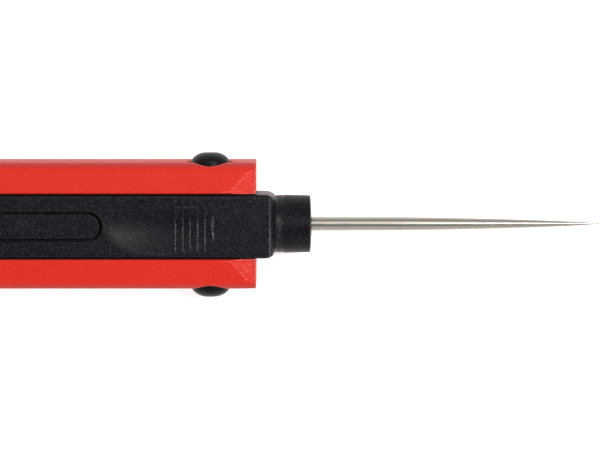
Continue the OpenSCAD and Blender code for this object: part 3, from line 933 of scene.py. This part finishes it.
def make_slider_base():
    """The half that runs on the channel's floor, with the lower half of each tongue and the
    holes for the screws that clamp the needle."""
    stations = spread(SLIDER_REAR, MOUTH + 0.4 * MM, 4 * MM) + nose_stations()
    section = half_section(AXIS - keel_low.z, KEEL_CORNER_R, 24)
    keel = loft_slider("slider_keel", section, stations, -1, lambda x, y: 0.0)
    for side in (-1, 1):
        add(keel, side_block("tongue", side, TONGUE_ALONG, TONGUE_OUT,
                             (GROOVE_FLOOR + TONGUE_GAP, SPLIT)))
    cut(keel, *[screw_cutter(x, 0, keel_low.z, AXIS + OVER) for x in SLIDER_SCREWS])
    weld(keel)
    smooth(keel, 40)
    finish_piece(keel, "carriage", "slider", SLIDER_BLACK, "slider_base")


def stadium(front, rear, half):
    """A slot outline with round ends."""
    return (arc(front - half, 0, half, -90, 90, 24) + arc(rear + half, 0, half, 90, 270, 24))


def make_marker_plate():
    """The blank oval inlay behind the thumb dish."""
    plate = along_z("blank_marker", stadium(marker_high.x, marker_low.x, marker_high.y),
                    THUMB_FACE - MARKER_THICKNESS, marker_high.z)
    round_edges(plate, lambda middle, angle: 0.12 * MM if angle > 40 else 0)
    smooth(plate)
    even_shading(plate)
    finish_piece(plate, "carriage", "marker", BLACK, "marker_plate")


# ---------------------------------------------------------------- collar, needle and buttons

def make_collar():
    """The ring round the needle's root. Its wall tapers a little, and its face is domed round
    the needle's hole."""
    root = (collar_high.y - collar_low.y) / 2
    taper = 0.06 * MM
    edge, dome = 0.25 * MM, 0.16 * MM
    hole, hollow = 1.02 * MM, 3.03 * MM
    rear, front = collar_low.x, collar_high.x
    tip = root - taper
    wall = [(root - taper * k / 6, rear + (0.2 + 0.55 * k) * MM) for k in range(1, 7)]
    corner = [(tip - edge + edge * cos(radians(t)), front - dome - edge + edge * sin(radians(t)))
              for t in range(0, 91, 10)]
    face = [(tip - edge - (tip - edge - hole - 0.2 * MM) * k / 8,
             front - dome + dome * sin(pi / 2 * k / 8)) for k in range(1, 9)]
    lip = [(hole + 0.05 * MM, front - 0.04 * MM), (hole, front - 0.14 * MM)]
    inside = [(hole, front - 0.95 * MM), (hollow, front - 0.95 * MM)]
    profile = [(hollow, rear), (root - 0.05 * MM, rear), (root, rear + 0.05 * MM),
               *wall, *corner, *face, *lip, *inside]
    collar = lathe("needle_collar", profile, facing_x, 128)
    smooth(collar, 35)
    finish_piece(collar, "carriage", "collar", COLLAR_BLACK, "collar")


def needle_radius(ahead):
    """Radius of the needle at a distance in front of the collar."""
    straight, whole = 12 * MM, needle_high.x - collar_high.x
    share = max(0.0, ahead - straight) / (whole - straight)
    return NEEDLE_R * max(0.0, 1 - share ** 1.35) ** 0.62


def make_needle():
    """The wire from its bent heel inside the slider to its ground point."""
    heel = needle_low.x + NEEDLE_R
    out = collar_high.x
    length = needle_high.x - out
    shank_share, end_r = 0.28, 0.06 * MM
    shank = [shank_share * k / 12 for k in range(1, 13)]
    taper = [shank_share + (1 - shank_share) * (1 - (1 - k / 60) ** 1.7) for k in range(1, 60)]
    profile = [(0, heel), (NEEDLE_R - 0.02 * MM, heel), (NEEDLE_R, heel + 0.05 * MM),
               (NEEDLE_R, out)]
    profile += [(max(needle_radius(length * share), 0.10 * MM), out + length * share)
                for share in shank + taper]
    profile += [(end_r, needle_high.x - 0.02 * MM), (0, needle_high.x)]
    needle = lathe("awl_needle", profile, facing_x, 64)
    add(needle, lathe("heel", [(0, needle_low.z), (NEEDLE_R, needle_low.z), (NEEDLE_R, AXIS),
                               (0, AXIS)], facing_z(heel, 0), 48))
    weld(needle)
    smooth(needle, 50)
    finish_piece(needle, "carriage", "needle", NEEDLE_STEEL, "needle")


def make_button(side):
    """A push button: its stem, the flange that keeps it in, and a domed head with a flat top."""
    name = "left" if side > 0 else "right"
    stem_r, flange_r, head_r = 1.5 * MM, 3.35 * MM, BUTTON_HEAD_R
    foot_r, crown_r = head_r - 0.22 * MM, 1.1 * MM
    stem_end, flange_inner, flange_outer = 5.7 * MM, 7.4 * MM, 7.88 * MM
    chamfer, foot = 0.1 * MM, HALF_WIDTH + 0.05 * MM
    top = BUTTON_TOP - 0.06 * MM
    crown = [(crown_r + (foot_r - crown_r) * cos(radians(t)) ** 1.4,
              foot + (top - foot) * sin(radians(t)) ** 1.15)
             for t in range(0, 90, 5)] + [(crown_r, top)]
    profile = [(0, stem_end), (stem_r - chamfer, stem_end), (stem_r, stem_end + chamfer),
               (stem_r, flange_inner), (flange_r, flange_inner), (flange_r, flange_outer),
               (head_r, flange_outer), (head_r, HALF_WIDTH - 0.5 * MM), *crown, (0, top)]
    button = lathe(name + "_push_button", profile, facing_y(side), 96)
    smooth(button, 40)
    finish_piece(button, name + "_push", "button", BUTTON_BLACK, name + "_button")


make_shell_front()
make_shell_back()
make_tail_cap()
make_slider_top()
make_slider_base()
make_marker_plate()
make_collar()
make_needle()
for way in (1, -1):
    make_button(way)

for node, material in (("housing_screws", SCREW_STEEL), ("tail_screw", SCREW_STEEL),
                       ("slider_screws", SCREW_STEEL),
                       ("left_latch_spring", SPRING_STEEL), ("right_latch_spring", SPRING_STEEL),
                       ("left_button_spring", SPRING_STEEL),
                       ("right_button_spring", SPRING_STEEL)):
    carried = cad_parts[node]
    carried.data.materials.clear()
    carried.data.materials.append(material)


# ---------------------------------------------------------------- floor, camera and light

def make_floor():
    """A pale floor, just clear of the awl's back, that glows a little so that it stays even."""
    half = 1.5
    under = -0.02 * MM
    floor = mesh_object("pale_floor", [(-half, -half, under), (half, -half, under),
                                       (half, half, under), (-half, half, under)],
                        [(0, 1, 2, 3)])
    finish = Finish("pale_paper")
    finish.plug(finish.shader, {
        "Base Color": finish.blend(finish.noise(40.0, 3.0), (0.88, 0.88, 0.88),
                                   (0.91, 0.91, 0.91)),
        "Roughness": 0.9,
        "Normal": finish.bump(finish.noise(1.2, 3.0), 0.01),
        "Specular IOR Level": 0.1,
        "Emission Color": (1.0, 1.0, 1.0, 1.0),
        "Emission Strength": 0.52,
    })
    floor.data.materials.append(finish.material)


def aim(thing, place, target, up=(0, 0, 1)):
    """Puts a lamp or camera at place, looking at target, with up towards the image's top."""
    forward = (Vector(target) - Vector(place)).normalized()
    right = forward.cross(Vector(up)).normalized()
    top = right.cross(forward)
    turn = Matrix((right, top, -forward)).transposed().to_4x4()
    thing.matrix_world = Matrix.Translation(place) @ turn


def make_camera():
    """A long lens over the front of the awl, tilted a little towards +Y."""
    tilt = radians(5)
    view_width = 88.8 * MM
    lens, sensor = 180.0, 36.0
    distance = view_width * lens / sensor
    centre = Vector((MOUTH + 6.5 * MM, 0, AXIS)) + Vector((0, cos(tilt), -sin(tilt))) * -0.2 * MM
    data = bpy.data.cameras.new("camera")
    data.lens = lens
    data.sensor_width = sensor
    data.clip_start = 0.01
    data.clip_end = 10
    camera = bpy.data.objects.new("camera", data)
    bpy.context.scene.collection.objects.link(camera)
    place = centre + Vector((0, sin(tilt), cos(tilt))) * distance
    aim(camera, place, centre, (0, 1, 0))
    bpy.context.scene.camera = camera


def make_lamp():
    """One soft square lamp, high above the needle's tip and a little to its +Y side."""
    data = bpy.data.lights.new("front_soft_light", "AREA")
    data.shape = "RECTANGLE"
    data.size, data.size_y = 0.16, 0.16
    data.energy = 2.5
    lamp = bpy.data.objects.new("front_soft_light", data)
    bpy.context.scene.collection.objects.link(lamp)
    aim(lamp, (0.26, 0.13, 0.60), (0.0, 0.0, 0.0), (0, 1, 0.001))


def make_world():
    """Soft white all round, dimmer low down and towards +Y, with a dark patch overhead and a
    brighter one beside it."""
    world = bpy.data.worlds.new("studio")
    bpy.context.scene.world = world
    world.use_nodes = True
    sky = Wiring(world.node_tree)
    where = sky.node("ShaderNodeTexCoord", out="Generated")
    height = sky.node("ShaderNodeSeparateXYZ", None, {0: where}, out="Z")
    across = sky.node("ShaderNodeSeparateXYZ", None, {0: where}, out="Y")
    dark_lean, bright_lean = radians(12), radians(26)
    near_dark = (height * cos(dark_lean) - across * sin(dark_lean)).between(0.80, 0.95)
    near_bright = (height * cos(bright_lean) + across * sin(bright_lean)).between(0.94, 0.985)
    level = (0.85 + 0.15 * height.between(0.0, 0.4)) * (1 - 0.3 * across)
    plain, brightest = 0.96, 1.92
    shade = (level * (1 - 0.9 * near_dark) + 0.7 * near_bright) * (plain / brightest)
    color = sky.blend(shade, (0, 0, 0), (1, 1, 1))
    glow = sky.node("ShaderNodeBackground", None, {"Color": color, "Strength": brightest})
    output = sky.tree.nodes.new("ShaderNodeOutputWorld")
    sky.tree.links.new(glow.socket, output.inputs["Surface"])


make_floor()
make_camera()
make_world()
make_lamp()

scene = bpy.context.scene
scene.view_settings.view_transform = "Standard"
scene.view_settings.look = "None"
scene.view_settings.exposure = 0.0
